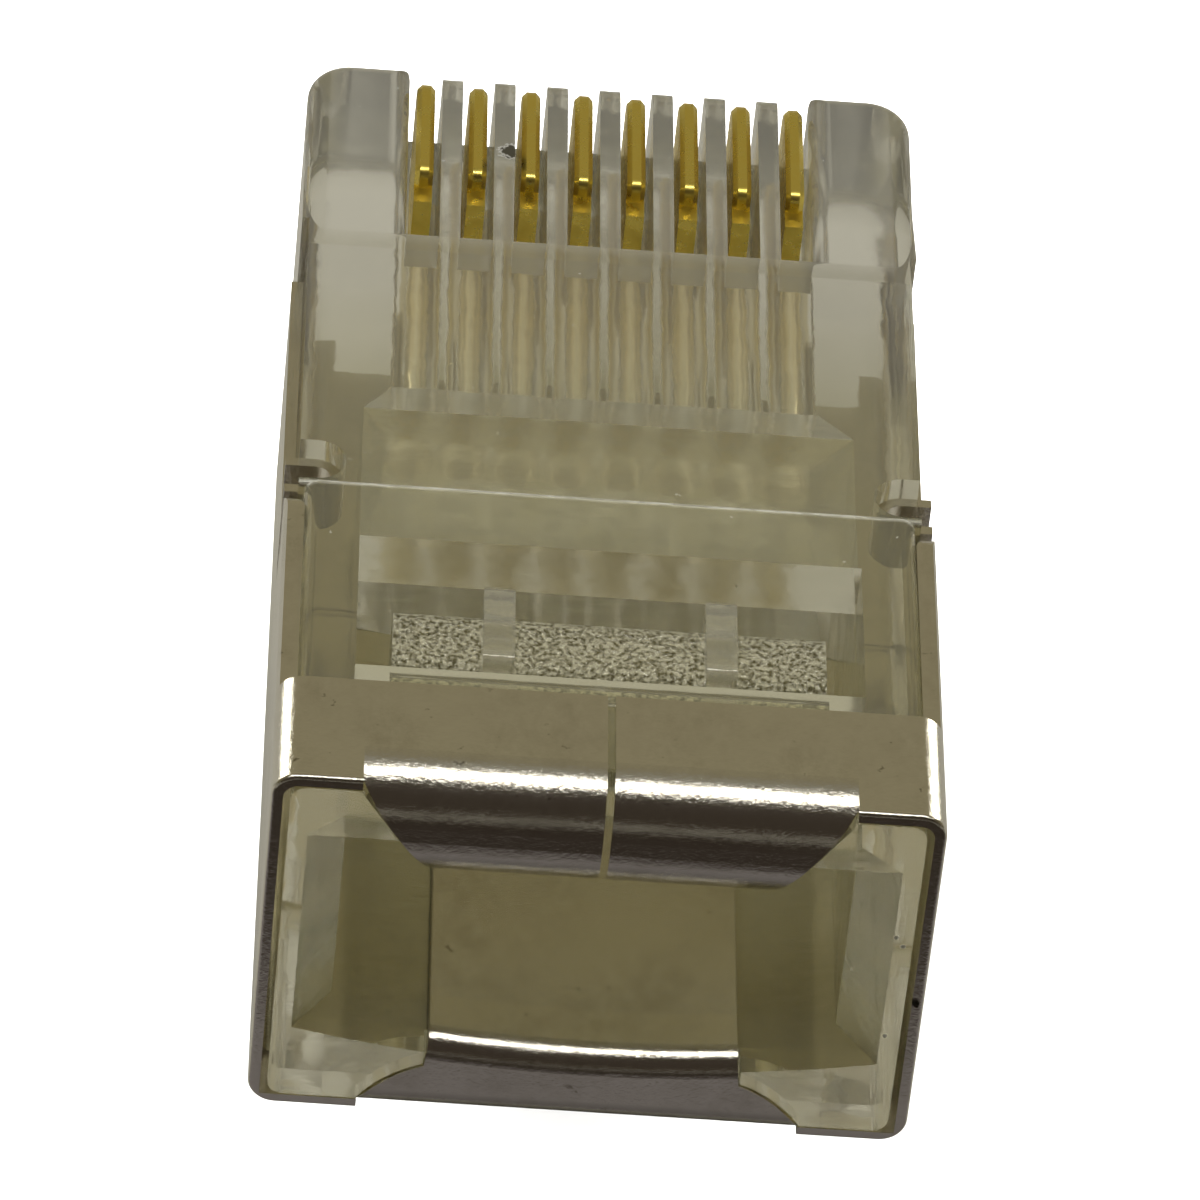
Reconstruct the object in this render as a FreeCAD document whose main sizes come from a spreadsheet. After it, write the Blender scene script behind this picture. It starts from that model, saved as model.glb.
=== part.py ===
"""Shielded 8P8C modular plug, uncrimped and without cable, as a parametric FreeCAD document.

The plug lies along +Y, which is the way it goes into its jack. Its contacts face +Z and its latch hangs
below. The origin is the centre of the cable entry: the middle of the rear face, at half the body's height.
All sizes are in millimetres and degrees.
"""

import FreeCAD, Part

import math
import os
import re

import Sketcher

CONTACT_COUNT = 8

SIZES = {
    # moulded body; the steps are measured on each side
    "body_length": 22.15,
    "body_height": 6.6,
    "nose_width": 11.68,
    "middle_step": 0.14,
    "rear_step": 0.24,
    "rear_length": 8.7,
    "rear_rise": 0.07,
    "nose_corner_radius": 0.85,
    "nose_top_radius": 0.42,
    "nose_foot_radius": 0.7,
    "rear_edge_radius": 0.3,
    "nose_top_length": 5.55,
    "nose_drop": 0.12,
    "nose_slope_length": 0.65,
    "block_edge_radius": 0.4,
    # the underside drops towards the cable entry
    "sag": 0.45,
    "sag_level_length": 1.3,
    "sag_length": 7.0,
    # cable cavity
    "mouth_wall": 0.35,
    "mouth_depth": 1.2,
    "cavity_wall": 1.05,
    "cavity_depth": 11.6,
    "top_wall": 1.07,
    "floor_wall": 0.59,
    "floor_radius": 25.0,
    "funnel_length": 2.0,
    # conductor channels, one below each contact
    "channel_radius": 0.46,
    "channel_level": -0.45,
    "channel_front_wall": 1.2,
    # contact slots
    "contact_pitch": 1.016,
    "slot_width": 0.62,
    "slot_depth": 2.0,
    "rib_front_radius": 0.72,
    "rib_tip_radius": 0.15,
    # contact blades
    "blade_thickness": 0.35,
    "blade_clearance": 0.02,
    "blade_setback": 0.2,
    "blade_length": 3.7,
    "blade_leg_setback": 0.4,
    "blade_top_recess": 0.14,
    "blade_height": 3.1,
    "blade_head": 1.6,
    "blade_shoulder": 0.45,
    "blade_shoulder_drop": 0.42,
    "blade_front_radius": 0.7,
    "blade_crest_radius": 0.2,
    "blade_edge_chamfer": 0.09,
    "blade_point": 0.5,
    "blade_travel": 0.7,
    # strain relief window and bar
    "window_rear": 3.5,
    "window_length": 3.67,
    "window_wall": 1.04,
    "bar_side_gap": 0.66,
    "bar_rear_gap": 0.45,
    "bar_length": 1.75,
    "bar_recess": 0.27,
    "bar_height": 1.25,
    "bar_front_radius": 0.55,
    "bar_rear_radius": 0.25,
    "bar_rib_width": 0.56,
    "bar_rib_spacing": 4.0,
    "bar_rib_length": 2.15,
    "bar_rib_recess": 0.03,
    "bar_web": 0.26,
    "bar_hinge_radius": 0.24,
    "bar_hinge_depth": 0.82,
    # latch
    "latch_width": 6.02,
    "latch_tail_width": 3.25,
    "latch_thickness": 0.55,
    "latch_hinge": 1.2,
    "latch_root_radius": 0.3,
    "root_boss_length": 0.75,
    "latch_drop": 0.6,
    "latch_slope_length": 3.0,
    "latch_shoulder": 8.36,
    "latch_shoulder_height": 0.8,
    "latch_ramp_length": 3.2,
    "latch_length": 14.6,
    "latch_angle": 13.0,
    "latch_edge_radius": 0.12,
    "hinge_clearance": 0.03,
    # folded shield
    "sheet_thickness": 0.22,
    "shield_clearance": 0.03,
    "shield_corner_radius": 0.5,
    "shield_rim_radius": 0.09,
    "bare_nose": 5.18,
    "strap_length": 2.77,
    "side_setback": 0.2,
    "side_corner_radius": 0.6,
    "skirt_drop": 1.7,
    "plate_setback": 1.0,
    "plate_corner_width": 0.7,
    "seam_gap": 0.14,
    "upper_bend_radius": 1.0,
    "upper_flap_width": 8.7,
    "upper_flap_end_width": 5.6,
    "upper_flap_drop": 0.3,
    "flap_curl_radius": 1.2,
    "flap_curl_angle": 50.0,
    "lower_bend_radius": 0.55,
    "lower_flap_width": 7.96,
    "lower_flap_end_width": 5.6,
    "lower_flap_side_radius": 2.4,
    "lip_radius": 0.45,
    "lip_rise": 0.08,
    "lip_run": 0.9,
    "tongue_length": 6.5,
    "flap_clearance": 0.05,
    # side ears that key the shield into the body
    "ear_setback": 0.7,
    "ear_inset": 0.33,
    "ear_radius": 0.5,
    "ear_drop": 0.4,
    "ear_height": 2.3,
    "ear_clearance": 0.06,
}

doc = FreeCAD.newDocument("modular_plug")


def make_sheet():
    """Puts each size in a cell of its own, with its name as the alias."""
    made = doc.addObject("Spreadsheet::Sheet", "Sizes")
    for row, (name, size) in enumerate(SIZES.items(), start=1):
        made.set(f"A{row}", name)
        made.set(f"B{row}", str(size))
        made.setAlias(f"B{row}", name)
    doc.recompute()
    return made


sheet = make_sheet()


def bound(text):
    """An expression in the sizes' names, with each name pointing at its cell."""
    return re.sub(r"[a-z_]+", lambda m: "Sizes." + m[0] if m[0] in SIZES else m[0], text)


def value(text):
    """What an expression in the sizes' names comes to."""
    return float(sheet.evalExpression(bound(text)))


# Places that several pieces share, as expressions in the sizes.
HALF_BODY = "body_height / 2"
MIDDLE_SIDE = "(nose_width / 2 - middle_step)"
REAR_SIDE = "(nose_width / 2 - rear_step)"
REAR_TOP = "(body_height / 2 + rear_rise)"
CEILING = f"({REAR_TOP} - top_wall)"
FLOOR = f"(floor_wall - {REAR_TOP})"
NOSE_FOOT = "(body_length - nose_top_length)"
NOSE_TOP = f"({HALF_BODY} - nose_drop)"
CAVITY_WIDTH = f"(2 * ({REAR_SIDE} - cavity_wall))"
WINDOW_SIDE = f"({REAR_SIDE} - window_wall)"
BLADE_FRONT = "(body_length - blade_setback)"
BLADE_REAR = f"({BLADE_FRONT} - blade_length)"
BLADE_LEG_FRONT = f"({BLADE_FRONT} - blade_leg_setback)"
BLADE_TOP = f"({HALF_BODY} - blade_top_recess)"
HINGE_Y = "(body_length - latch_hinge)"
HINGE_Z = "(-body_height / 2 - latch_root_radius - hinge_clearance)"
BAR_WIDTH = f"(2 * ({WINDOW_SIDE} - bar_side_gap))"
BAR_HINGE_Y = "(window_rear + hinge_clearance)"
BAR_HINGE_Z = f"({REAR_TOP} - bar_hinge_depth)"
SHIELD_FRONT = "(body_length - bare_nose)"
SHIELD_INNER_TOP = f"({REAR_TOP} + shield_clearance)"
SHIELD_INNER_SIDE = f"({MIDDLE_SIDE} + shield_clearance)"
SHIELD_TOP = f"({SHIELD_INNER_TOP} + sheet_thickness)"
SHIELD_SIDE = f"({SHIELD_INNER_SIDE} + sheet_thickness)"
FLAP_FACE = "(-flap_clearance)"
UPPER_BEND_Z = f"({SHIELD_TOP} - upper_bend_radius)"
CURL_Z = f"({UPPER_BEND_Z} - upper_flap_drop)"
UPPER_FLAP_END = f"({CURL_Z} - flap_curl_radius)"
TONGUE_LOW = f"({FLOOR} + hinge_clearance)"
LIP_TOP = f"({TONGUE_LOW} + sheet_thickness + lip_rise)"
LIP_Z = f"({LIP_TOP} - lip_radius)"
EAR_Y = "(rear_length + ear_setback)"
EAR_CENTRE = f"({SHIELD_INNER_SIDE} - ear_inset)"
EAR_FOOT = f"({HALF_BODY} - ear_drop - ear_height)"

# Cuts that open a face run past it by this much, so that they are sure to leave the solid.
BEYOND = "body_height"


# --- sketches -------------------------------------------------------------------------------------------


def new_body(label):
    made = doc.addObject("PartDesign::Body", label)
    made.Label = label
    return made


def new_sketch(body, name, plane, offset="0"):
    """A sketch on one of the body's origin planes, moved along that plane's normal by offset."""
    made = body.newObject("Sketcher::SketchObject", name)
    support = next(f for f in body.Origin.OriginFeatures if f.Role == plane)
    made.AttachmentSupport = [(support, "")]
    made.MapMode = "FlatFace"
    if offset != "0":
        made.setExpression(".AttachmentOffset.Base.z", bound(offset))
    return made


def tie(sketch, kind, geometry, point, text):
    """Holds one coordinate of a sketch point at an expression."""
    if text == "0":
        axis = -2 if kind == "DistanceX" else -1
        sketch.addConstraint(Sketcher.Constraint("PointOnObject", geometry, point, axis))
        return
    row = sketch.addConstraint(
        Sketcher.Constraint(kind, -1, 1, geometry, point, value(text))
    )
    sketch.setExpression(f"Constraints[{row}]", bound(text))


def arc_between(start, end, radius):
    """The short arc from start to end. Its centre lies left of the way there, or right if radius < 0."""
    chord = end - start
    left = FreeCAD.Vector(-chord.y, chord.x, 0).normalize()
    rise = math.sqrt(max(radius**2 - (chord.Length / 2) ** 2, 0.0))
    centre = (start + end) / 2 + left * math.copysign(rise, radius)
    first, last = (start, end) if radius > 0 else (end, start)
    angles = [math.atan2((p - centre).y, (p - centre).x) for p in (first, last)]
    circle = Part.Circle(centre, FreeCAD.Vector(0, 0, 1), abs(radius))
    return Part.ArcOfCircle(circle, *angles)


def outline(sketch, corners):
    """A closed loop through corners (u, v), each tied to the sheet.

    A corner (u, v, radius) starts an arc instead of a straight edge; see arc_between."""
    places = [FreeCAD.Vector(value(c[0]), value(c[1]), 0) for c in corners]
    first = sketch.GeometryCount
    ends = []
    for i, corner in enumerate(corners):
        start, end = places[i], places[(i + 1) % len(places)]
        if len(corner) == 2:
            geometry = sketch.addGeometry(Part.LineSegment(start, end))
            ends.append((1, 2))
            continue
        radius = value(corner[2])
        geometry = sketch.addGeometry(arc_between(start, end, radius))
        ends.append((1, 2) if radius > 0 else (2, 1))
        row = sketch.addConstraint(Sketcher.Constraint("Radius", geometry, abs(radius)))
        sketch.setExpression(f"Constraints[{row}]", bound(f"abs({corner[2]})"))
    for i, corner in enumerate(corners):
        after = (i + 1) % len(corners)
        sketch.addConstraint(
            Sketcher.Constraint("Coincident", first + i, ends[i][1], first + after, ends[after][0])
        )
        tie(sketch, "DistanceX", first + i, ends[i][0], corner[0])
        tie(sketch, "DistanceY", first + i, ends[i][0], corner[1])
    return sketch


def rectangle(sketch, left, right, low, high):
    return outline(sketch, [(left, low), (right, low), (right, high), (left, high)])


def circle(sketch, u, v, radius):
    centre = FreeCAD.Vector(value(u), value(v), 0)
    normal = FreeCAD.Vector(0, 0, 1)
    geometry = sketch.addGeometry(Part.Circle(centre, normal, value(radius)))
    row = sketch.addConstraint(Sketcher.Constraint("Radius", geometry, value(radius)))
    sketch.setExpression(f"Constraints[{row}]", bound(radius))
    tie(sketch, "DistanceX", geometry, 3, u)
    tie(sketch, "DistanceY", geometry, 3, v)
    return sketch


# --- features -------------------------------------------------------------------------------------------


def extrude(body, kind, name, sketch, length, side="Symmetric", back=False):
    """A Pad or a Pocket of a sketch. Symmetric lengths are measured over both sides together."""
    made = body.newObject(f"PartDesign::{kind}", name)
    made.Profile = sketch
    made.SideType = side
    made.Reversed = back
    made.setExpression("Length", bound(length))
    sketch.Visibility = False
    doc.recompute()
    return made


def loft(body, kind, name, sections):
    """An AdditiveLoft or a SubtractiveLoft through sketches."""
    made = body.newObject(f"PartDesign::{kind}", name)
    made.Profile = sections[0]
    made.Sections = sections[1:]
    made.Ruled = True
    doc.recompute()
    return made


def row_of_eight(body, name, feature):
    """Repeats a feature once for each contact, at the contact pitch."""
    made = body.newObject("PartDesign::LinearPattern", name)
    made.Originals = [feature]
    made.Direction = (next(f for f in body.Origin.OriginFeatures if f.Role == "X_Axis"), [""])
    made.Mode = "Spacing"
    made.setExpression("Offset", bound("contact_pitch"))
    made.Occurrences = CONTACT_COUNT
    body.Tip = made
    doc.recompute()
    return made


def mirror_sides(body, name, features):
    """Copies features to the other side of the plug's middle plane."""
    made = body.newObject("PartDesign::Mirrored", name)
    made.Originals = features
    made.MirrorPlane = (next(f for f in body.Origin.OriginFeatures if f.Role == "YZ_Plane"), [""])
    body.Tip = made
    doc.recompute()
    return made


def edges_where(feature, test):
    """Names of the edges whose two ends and middle all pass test(point)."""
    names = []
    for number, edge in enumerate(feature.Shape.Edges, start=1):
        middle = edge.valueAt((edge.FirstParameter + edge.LastParameter) / 2)
        points = [v.Point for v in edge.Vertexes] + [middle]
        if all(test(p) for p in points):
            names.append(f"Edge{number}")
    return names


def near(number, text, slack=0.01):
    return abs(number - value(text)) < slack


def dress_edges(body, name, feature, test, size, kind="Fillet"):
    """A Fillet or a Chamfer on the edges of a feature that pass test(point)."""
    names = edges_where(feature, test)
    if not names:
        raise ValueError(f"{name}: no edge to dress")
    made = body.newObject(f"PartDesign::{kind}", name)
    made.Base = (feature, names)
    made.setExpression("Radius" if kind == "Fillet" else "Size", bound(size))
    doc.recompute()
    return made


# --- housing --------------------------------------------------------------------------------------------

FIRST_CONTACT = f"(-contact_pitch * {CONTACT_COUNT - 1} / 2)"
CONTACT_ROW = f"(contact_pitch * {CONTACT_COUNT - 1} + slot_width)"


def rear_section(body, name, depth, side, top, drop, radius):
    """A slice across the rear part with rounded corners. Its underside lies lower than its top lies high."""
    low = f"(-{top} - {drop})"
    return outline(
        new_sketch(body, name, "XZ_Plane", f"-({depth})"),
        [
            (f"{radius} - {side}", low),
            (f"{side} - {radius}", low, radius),
            (side, f"{low} + {radius}"),
            (side, f"{top} - {radius}", radius),
            (f"{side} - {radius}", top),
            (f"{radius} - {side}", top, radius),
            (f"-{side}", f"{top} - {radius}"),
            (f"-{side}", f"{low} + {radius}", radius),
        ],
    )


def rear_form(body, kind, name, side, top, rear, front, radius):
    """The rear part's form, level above, with an underside that drops towards the cable entry."""
    stations = ((rear, "sag"), ("sag_level_length", "sag"), ("sag_length", "0"), (front, "0"))
    sections = [
        rear_section(body, f"{name}_{number}", depth, side, top, drop, radius)
        for number, (depth, drop) in enumerate(stations, start=1)
    ]
    return loft(body, kind, name, sections)


def housing_block(body):
    """The outside: a rounded nose, a narrower middle and a raised rear part that the shield wraps."""
    plan = rectangle(
        new_sketch(body, "nose_plan", "XY_Plane"),
        "-nose_width / 2",
        "nose_width / 2",
        "rear_length",
        "body_length",
    )
    extrude(body, "Pad", "nose_block", plan, "body_height")
    lowered = outline(
        new_sketch(body, "nose_top_side", "YZ_Plane"),
        [
            (f"{NOSE_FOOT} - nose_slope_length", HALF_BODY),
            (NOSE_FOOT, NOSE_TOP),
            (f"body_length + {BEYOND}", NOSE_TOP),
            (f"body_length + {BEYOND}", HALF_BODY),
        ],
    )
    nose = extrude(body, "Pocket", "nose_top", lowered, "2 * nose_width")
    corners = dress_edges(
        body,
        "nose_corners",
        nose,
        lambda p: near(abs(p.x), "nose_width / 2") and near(p.y, "body_length"),
        "nose_corner_radius",
    )
    corner_start = value("body_length - nose_corner_radius") - 0.01
    top_edges = dress_edges(
        body,
        "nose_top_edges",
        corners,
        lambda p: near(p.z, NOSE_TOP) and p.y > corner_start,
        "nose_top_radius",
    )
    dress_edges(
        body,
        "nose_foot_edges",
        top_edges,
        lambda p: near(p.z, f"-{HALF_BODY}") and p.y > corner_start,
        "nose_foot_radius",
    )
    beside = rectangle(
        new_sketch(body, "side_plan", "XY_Plane"),
        MIDDLE_SIDE,
        "nose_width",
        "0",
        f"{SHIELD_FRONT} + flap_clearance",
    )
    recess = extrude(body, "Pocket", "side_recess", beside, "2 * body_height")
    mirror_sides(body, "side_recesses", [recess])
    return rear_form(
        body, "AdditiveLoft", "rear_block", REAR_SIDE, REAR_TOP, "0", "rear_length", "rear_edge_radius"
    )


def cavity_section(body, name, depth, width, ceiling):
    """A slice of the cable cavity: flat ceiling and sides, and a floor that sags in the middle."""
    section = new_sketch(body, name, "XZ_Plane", f"-({depth})")
    edge = f"({width} / 2)"
    level = f"({FLOOR} + floor_radius - sqrt(floor_radius ^ 2 - {edge} ^ 2))"
    return outline(
        section,
        [(f"-{edge}", level, "floor_radius"), (edge, level), (edge, ceiling), (f"-{edge}", ceiling)],
    )


def housing_cavity(body):
    """Flared mouth, straight cable bay, and the funnel that leads the conductors to their channels."""
    mouth_width = f"(2 * ({REAR_SIDE} - mouth_wall))"
    loft(
        body,
        "SubtractiveLoft",
        "cable_mouth",
        [
            cavity_section(body, "mouth_outer", "0", mouth_width, CEILING),
            cavity_section(body, "mouth_inner", "mouth_depth", CAVITY_WIDTH, CEILING),
        ],
    )
    bay = cavity_section(body, "bay_section", "mouth_depth", CAVITY_WIDTH, CEILING)
    extrude(body, "Pocket", "cable_bay", bay, "cavity_depth - mouth_depth", "One side", back=False)
    funnel_start = rectangle(
        new_sketch(body, "funnel_start", "XZ_Plane", "-cavity_depth"),
        f"-{CAVITY_WIDTH} / 2",
        f"{CAVITY_WIDTH} / 2",
        f"{FLOOR} + floor_wall / 2",
        CEILING,
    )
    funnel_end = rectangle(
        new_sketch(body, "funnel_end", "XZ_Plane", "-(cavity_depth + funnel_length)"),
        f"{FIRST_CONTACT} - channel_radius",
        f"-{FIRST_CONTACT} + channel_radius",
        "channel_level - channel_radius",
        "channel_level + channel_radius",
    )
    loft(body, "SubtractiveLoft", "conductor_funnel", [funnel_start, funnel_end])
    channel_end = "(body_length - channel_front_wall)"
    bore = circle(
        new_sketch(body, "channel_bore", "XZ_Plane", f"-{channel_end}"),
        FIRST_CONTACT,
        "channel_level",
        "channel_radius",
    )
    reach = f"{channel_end} - cavity_depth - funnel_length + channel_radius / 2"
    channel = extrude(body, "Pocket", "channel", bore, reach, "One side", back=True)
    row_of_eight(body, "channels", channel)


def housing_slots(body):
    """Eight open slots with domed ribs between, and below each the slit that grips its blade."""
    relief = outline(
        new_sketch(body, "rib_fronts", "YZ_Plane"),
        [
            ("body_length - rib_front_radius", NOSE_TOP, "-rib_front_radius"),
            ("body_length", f"{NOSE_TOP} - rib_front_radius"),
            (f"body_length + {BEYOND}", f"{NOSE_TOP} - rib_front_radius"),
            (f"body_length + {BEYOND}", f"{NOSE_TOP} + rib_front_radius"),
            ("body_length - rib_front_radius", f"{NOSE_TOP} + rib_front_radius"),
        ],
    )
    extrude(body, "Pocket", "rib_rounding", relief, CONTACT_ROW)
    left = f"({FIRST_CONTACT} - slot_width / 2)"
    right = f"({FIRST_CONTACT} + slot_width / 2)"
    slot = outline(
        new_sketch(body, "slot_plan", "XY_Plane", HALF_BODY),
        [
            (left, NOSE_FOOT),
            (right, NOSE_FOOT),
            (right, "body_length - rib_tip_radius", "-rib_tip_radius"),
            (f"{right} + rib_tip_radius", "body_length"),
            (f"{right} + rib_tip_radius", f"body_length + {BEYOND}"),
            (f"{left} - rib_tip_radius", f"body_length + {BEYOND}"),
            (f"{left} - rib_tip_radius", "body_length", "-rib_tip_radius"),
            (left, "body_length - rib_tip_radius"),
        ],
    )
    slots = extrude(body, "Pocket", "slot", slot, "slot_depth", "One side")
    row_of_eight(body, "slots", slots)
    inner = f"({CONTACT_ROW} / 2)"
    edge = outline(
        new_sketch(body, "block_edge_section", "XZ_Plane", f"-{NOSE_FOOT}"),
        [
            (inner, NOSE_TOP),
            (inner, f"{NOSE_TOP} - block_edge_radius", "-block_edge_radius"),
            (f"{inner} + block_edge_radius", NOSE_TOP),
        ],
    )
    rounding = extrude(body, "Pocket", "block_edge", edge, "nose_top_length", "One side")
    mirror_sides(body, "block_edges", [rounding])
    half_slit = "(blade_thickness / 2 + blade_clearance)"
    slit = rectangle(
        new_sketch(body, "slit_plan", "XY_Plane", HALF_BODY),
        f"{FIRST_CONTACT} - {half_slit}",
        f"{FIRST_CONTACT} + {half_slit}",
        f"{BLADE_REAR} - blade_clearance",
        f"{BLADE_LEG_FRONT} + blade_clearance",
    )
    slits = extrude(
        body, "Pocket", "slit", slit, "blade_top_recess + blade_height + blade_travel", "One side"
    )
    row_of_eight(body, "slits", slits)


def housing_openings(body):
    """The strain relief window, seats for the bent flaps, and the notches that take the ears."""
    window = rectangle(
        new_sketch(body, "window_plan", "XY_Plane", REAR_TOP),
        f"-{WINDOW_SIDE}",
        WINDOW_SIDE,
        "window_rear",
        "window_rear + window_length",
    )
    extrude(body, "Pocket", "window", window, "top_wall * 1.2", "One side")
    groove = circle(
        new_sketch(body, "bar_groove_side", "YZ_Plane"),
        BAR_HINGE_Y,
        BAR_HINGE_Z,
        "bar_hinge_radius + hinge_clearance",
    )
    extrude(body, "Pocket", "bar_groove", groove, f"{BAR_WIDTH} + 2 * hinge_clearance")
    wide = "(upper_flap_width / 2 + flap_clearance)"
    narrow = "(upper_flap_end_width / 2 + flap_clearance)"
    seat = outline(
        new_sketch(body, "upper_seat_face", "XZ_Plane"),
        [
            (f"-{wide}", BEYOND),
            (f"-{wide}", SHIELD_INNER_TOP),
            (f"-{narrow}", UPPER_FLAP_END),
            (narrow, UPPER_FLAP_END),
            (wide, SHIELD_INNER_TOP),
            (wide, BEYOND),
        ],
    )
    extrude(body, "Pocket", "upper_flap_seat", seat, "2 * upper_bend_radius + 2 * flap_clearance")
    wide = "(lower_flap_width / 2 + flap_clearance)"
    narrow = "(lower_flap_end_width / 2 + flap_clearance)"
    seat = outline(
        new_sketch(body, "lower_seat_face", "XZ_Plane"),
        [
            (f"-{wide}", f"-{BEYOND}"),
            (wide, f"-{BEYOND}"),
            (wide, f"-{SHIELD_INNER_TOP} - sag", "lower_flap_side_radius"),
            (narrow, LIP_Z),
            (narrow, f"{FLOOR} + floor_wall"),
            (f"-{narrow}", f"{FLOOR} + floor_wall"),
            (f"-{narrow}", LIP_Z, "lower_flap_side_radius"),
            (f"-{wide}", f"-{SHIELD_INNER_TOP} - sag"),
        ],
    )
    extrude(body, "Pocket", "lower_flap_seat", seat, "2 * lower_bend_radius + 2 * flap_clearance")
    reach = "(ear_radius + ear_clearance)"
    notch = outline(
        new_sketch(body, "ear_notch_plan", "XY_Plane", f"{EAR_FOOT} - ear_clearance"),
        [
            ("nose_width", f"{EAR_Y} - {reach}"),
            ("nose_width", f"{EAR_Y} + {reach}"),
            (EAR_CENTRE, f"{EAR_Y} + {reach}", reach),
            (f"{EAR_CENTRE} - {reach}", EAR_Y, reach),
            (EAR_CENTRE, f"{EAR_Y} - {reach}"),
        ],
    )
    cut = extrude(body, "Pocket", "ear_notch", notch, "body_height", "One side", back=True)
    mirror_sides(body, "ear_notches", [cut])


def housing_latch_root(body):
    """The boss below the nose that the latch's root grows from."""
    boss = outline(
        new_sketch(body, "root_boss_side", "YZ_Plane"),
        [
            (HINGE_Y, f"-{HALF_BODY} + nose_foot_radius"),
            (HINGE_Y, f"{HINGE_Z} - latch_root_radius"),
            (f"{HINGE_Y} + root_boss_length / 2", f"{HINGE_Z} - latch_root_radius"),
            (f"{HINGE_Y} + root_boss_length", f"-{HALF_BODY}"),
            (f"{HINGE_Y} + root_boss_length", f"-{HALF_BODY} + nose_foot_radius"),
        ],
    )
    extrude(body, "Pad", "root_boss", boss, "latch_width")
    groove = circle(
        new_sketch(body, "root_groove_side", "YZ_Plane"),
        HINGE_Y,
        HINGE_Z,
        "latch_root_radius + hinge_clearance",
    )
    extrude(body, "Pocket", "root_groove", groove, "latch_width + 2 * hinge_clearance")


def make_housing():
    body = new_body("housing")
    housing_block(body)
    housing_cavity(body)
    housing_slots(body)
    housing_openings(body)
    housing_latch_root(body)
    return body


# --- strain relief bar ----------------------------------------------------------------------------------


def make_bar():
    """The bar that is pressed down onto the cable: ribbed on top and hung on a thin web at its rear."""
    body = new_body("strain_relief_bar")
    top = f"({REAR_TOP} - bar_recess)"
    rear = "(window_rear + bar_rear_gap)"
    front = f"({rear} + bar_length)"
    block = rectangle(
        new_sketch(body, "bar_side", "YZ_Plane"),
        rear,
        front,
        f"{top} - bar_height",
        top,
    )
    pad = extrude(body, "Pad", "bar", block, BAR_WIDTH)
    rounded = dress_edges(
        body,
        "bar_front_edges",
        pad,
        lambda p: near(p.y, front) and (near(p.z, top) or near(p.z, f"{top} - bar_height")),
        "bar_front_radius",
    )
    dress_edges(
        body,
        "bar_rear_edges",
        rounded,
        lambda p: near(p.y, rear) and (near(p.z, top) or near(p.z, f"{top} - bar_height")),
        "bar_rear_radius",
    )
    web = rectangle(
        new_sketch(body, "web_side", "YZ_Plane"),
        BAR_HINGE_Y,
        f"{rear} + bar_rear_radius",
        f"{BAR_HINGE_Z} - bar_web / 2",
        f"{BAR_HINGE_Z} + bar_web / 2",
    )
    extrude(body, "Pad", "web", web, BAR_WIDTH)
    root = circle(
        new_sketch(body, "bar_root_side", "YZ_Plane"), BAR_HINGE_Y, BAR_HINGE_Z, "bar_hinge_radius"
    )
    extrude(body, "Pad", "bar_root", root, BAR_WIDTH)
    rib_top = f"({REAR_TOP} - bar_rib_recess)"
    rib = outline(
        new_sketch(body, "rib_side", "YZ_Plane", "bar_rib_spacing / 2"),
        [
            (rear, f"{top} - bar_height + bar_front_radius"),
            (f"{rear} + bar_rib_length", f"{top} - bar_height + bar_front_radius"),
            (f"{rear} + bar_rib_length", f"{rib_top} - bar_rear_radius", "bar_rear_radius"),
            (f"{rear} + bar_rib_length - bar_rear_radius", rib_top),
            (f"{rear} + bar_rear_radius", rib_top, "bar_rear_radius"),
            (rear, f"{rib_top} - bar_rear_radius"),
        ],
    )
    ribs = extrude(body, "Pad", "rib", rib, "bar_rib_width")
    mirror_sides(body, "ribs", [ribs])
    return body


# --- latch ----------------------------------------------------------------------------------------------


def make_latch():
    """The locking lever, drawn pressed flat about its hinge and then turned down to its free angle."""
    body = new_body("latch")
    top = "(latch_root_radius - latch_drop)"
    low = f"({top} - latch_thickness)"
    shoulder = "(latch_hinge - latch_shoulder)"
    end = "(latch_hinge - latch_length)"
    lever = outline(
        new_sketch(body, "lever_side", "YZ_Plane"),
        [
            ("0", "-latch_root_radius"),
            ("0", "latch_root_radius"),
            ("-latch_slope_length", top),
            (end, top),
            (end, low),
            (shoulder, low),
            (shoulder, f"{low} - latch_shoulder_height"),
            (f"{shoulder} + latch_ramp_length / 4", f"{low} - latch_shoulder_height"),
            (f"{shoulder} + latch_ramp_length", low),
        ],
    )
    pad = extrude(body, "Pad", "lever", lever, "latch_width")
    root = circle(new_sketch(body, "root_side", "YZ_Plane"), "0", "0", "latch_root_radius")
    extrude(body, "Pad", "root", root, "latch_width")
    side = rectangle(
        new_sketch(body, "tail_plan", "XY_Plane"),
        "latch_tail_width / 2",
        "latch_width",
        f"{end} - {BEYOND}",
        shoulder,
    )
    cut = extrude(body, "Pocket", "tail_side", side, "body_height")
    tail = mirror_sides(body, "tail_sides", [cut])
    dress_edges(
        body,
        "lever_edges",
        tail,
        lambda p: near(p.y, end) or (near(p.z, top) and near(abs(p.x), "latch_tail_width / 2")),
        "latch_edge_radius",
    )
    body.setExpression(".Placement.Base.y", bound(HINGE_Y))
    body.setExpression(".Placement.Base.z", bound(HINGE_Z))
    body.Placement = FreeCAD.Placement(
        FreeCAD.Vector(0, value(HINGE_Y), value(HINGE_Z)),
        FreeCAD.Rotation(FreeCAD.Vector(1, 0, 0), value("latch_angle")),
    )
    body.setExpression(".Placement.Rotation.Angle", bound("latch_angle"))
    return body


# --- contacts -------------------------------------------------------------------------------------------


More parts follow.
